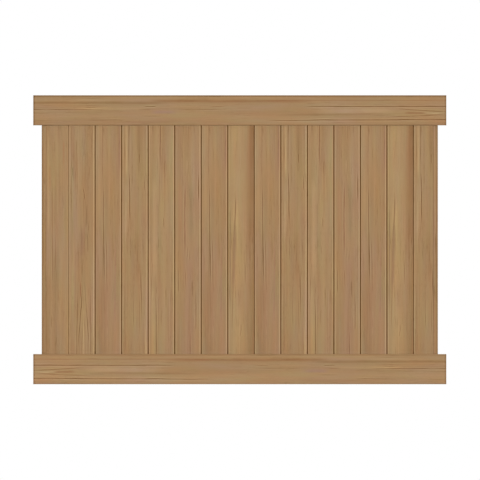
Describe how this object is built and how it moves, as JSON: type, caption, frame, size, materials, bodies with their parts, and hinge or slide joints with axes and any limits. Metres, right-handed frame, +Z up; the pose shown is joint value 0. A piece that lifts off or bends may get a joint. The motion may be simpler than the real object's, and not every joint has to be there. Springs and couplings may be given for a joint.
{
  "type": "vinyl privacy fence panel",
  "caption": "Solid privacy fence panel: wood-grain vinyl tongue-and-groove boards standing in pocketed top and bottom rails, with a U-channel at each end.",
  "frame": {"origin": "middle of the bottom rail's underside", "axes": "+X along the panel to the right seen from the front, front face towards -Y, +Z up"},
  "size_m": [2.4384, 0.0508, 1.7056],
  "materials": {
    "wood_grain_vinyl": "satin, warm brown wood-grain print",
    "galvanised_steel": "galvanised"
  },
  "bodies": {
    "root": {"top_rail": "wood_grain_vinyl", "bottom_rail": "wood_grain_vinyl", "left_channel": "wood_grain_vinyl", "right_channel": "wood_grain_vinyl", "board_01": "wood_grain_vinyl", "board_02": "wood_grain_vinyl", "board_03": "wood_grain_vinyl", "board_04": "wood_grain_vinyl", "board_05": "wood_grain_vinyl", "board_06": "wood_grain_vinyl", "board_07": "wood_grain_vinyl", "board_08": "wood_grain_vinyl", "board_09": "wood_grain_vinyl", "board_10": "wood_grain_vinyl", "board_11": "wood_grain_vinyl", "board_12": "wood_grain_vinyl", "board_13": "wood_grain_vinyl", "board_14": "wood_grain_vinyl", "board_15": "wood_grain_vinyl", "bottom_rail_stiffener": "galvanised_steel"}
  },
  "joints": []
}
